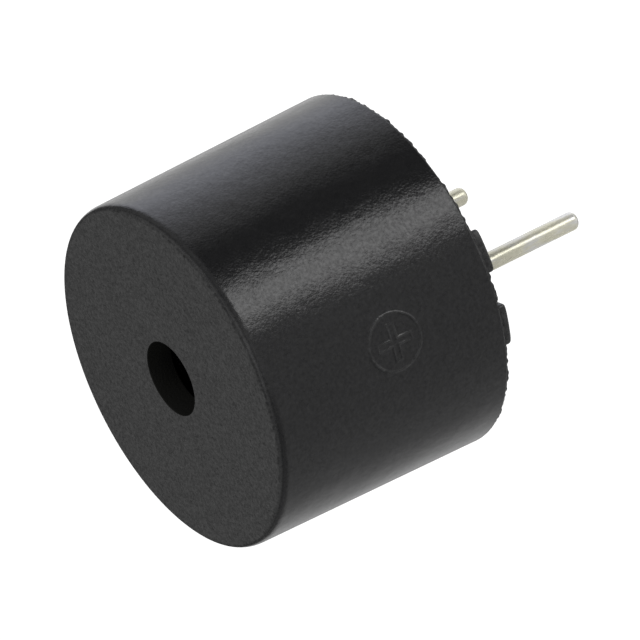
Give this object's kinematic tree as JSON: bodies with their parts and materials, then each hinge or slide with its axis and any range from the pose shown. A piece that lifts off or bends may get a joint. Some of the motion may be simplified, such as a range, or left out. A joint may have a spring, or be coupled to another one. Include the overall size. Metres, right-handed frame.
{
  "type": "magnetic buzzer",
  "caption": "Round board-mounted magnetic buzzer in a black moulded case, with a sound hole in its end face, stand-off feet and straight round terminals.",
  "frame": {"origin": "centre of the seating plane, where the stand-off feet touch the circuit board that carries the buzzer, midway between the two terminals. This is the mount lead_pair: the buzzer is fixed by its terminals", "axes": "+Z out of the sound hole, away from the circuit board. The terminals point to -Z. +X from the middle towards the positive terminal. +Y completes a right-handed frame"},
  "size_m": [0.012, 0.012, 0.0137],
  "materials": {
    "case_black": "moulded plastic, glossy on the side and finely grained on the sound face",
    "spring_steel": "rolled",
    "ring_plastic": "moulded",
    "magnet": "pressed and ground ferrite",
    "plated_iron": "plated",
    "enamelled_wire": "enamelled copper",
    "laminate": "glass-fibre laminate",
    "chip_black": "moulded",
    "tin": "bright tin plate and solder",
    "seal_resin": "cast resin"
  },
  "bodies": {
    "root": {"case": "case_black", "diaphragm": "spring_steel", "diaphragm_weight": "spring_steel", "support_ring": "ring_plastic", "ring_magnet": "magnet", "yoke_plate": "plated_iron", "pole_core": "plated_iron", "drive_winding": "enamelled_wire", "feedback_winding": "enamelled_wire", "circuit_board": "laminate", "transistor_body": "chip_black", "transistor_legs": "tin", "resistor_body": "chip_black", "resistor_caps": "tin", "component_solder": "tin", "lead_solder": "tin", "pin_solder": "tin", "pin_plus": "tin", "pin_minus": "tin", "base_seal": "seal_resin"}
  },
  "joints": []
}
